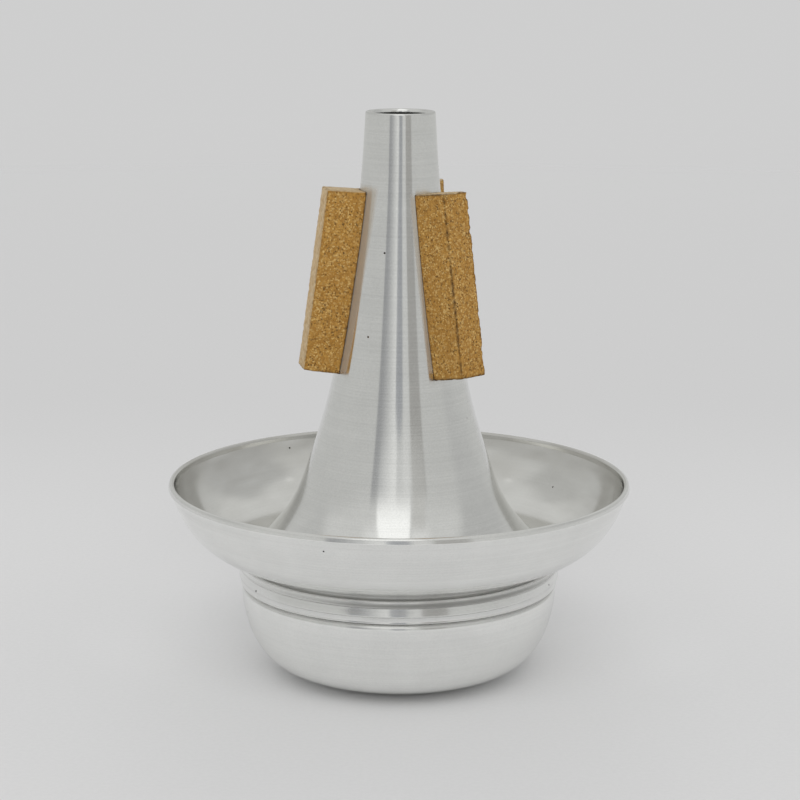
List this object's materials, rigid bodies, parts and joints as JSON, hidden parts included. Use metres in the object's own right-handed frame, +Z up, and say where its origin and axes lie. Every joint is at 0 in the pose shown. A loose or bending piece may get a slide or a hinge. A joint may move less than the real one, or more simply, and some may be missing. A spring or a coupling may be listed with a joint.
{
  "type": "trumpet cup mute",
  "caption": "Hollow spun metal cone with a domed base and cork strips that seat it in a trumpet bell, with an open round cup that lifts off the cone's foot.",
  "frame": {"origin": "centre of the flat that the base bowl stands on", "axes": "+Z up the axis of the cone, towards its small open end; the right cork is at +X and -Y"},
  "size_m": [0.115, 0.115, 0.141],
  "materials": {
    "spun_aluminium": "polished, with fine turning lines round the axis",
    "cork": "bare pressed cork, cut edges"
  },
  "bodies": {
    "mute_body": {"throat_cone": "spun_aluminium", "base_bowl": "spun_aluminium", "cork_left": "cork", "cork_right": "cork", "cork_back": "cork"},
    "cup": {"cup_bowl": "spun_aluminium"}
  },
  "joints": [
    {"name": "cup_lift", "type": "slide", "parent": "mute_body", "child": "cup", "axis": [0, 0, 1], "range_m": [0, 0.12]}
  ]
}
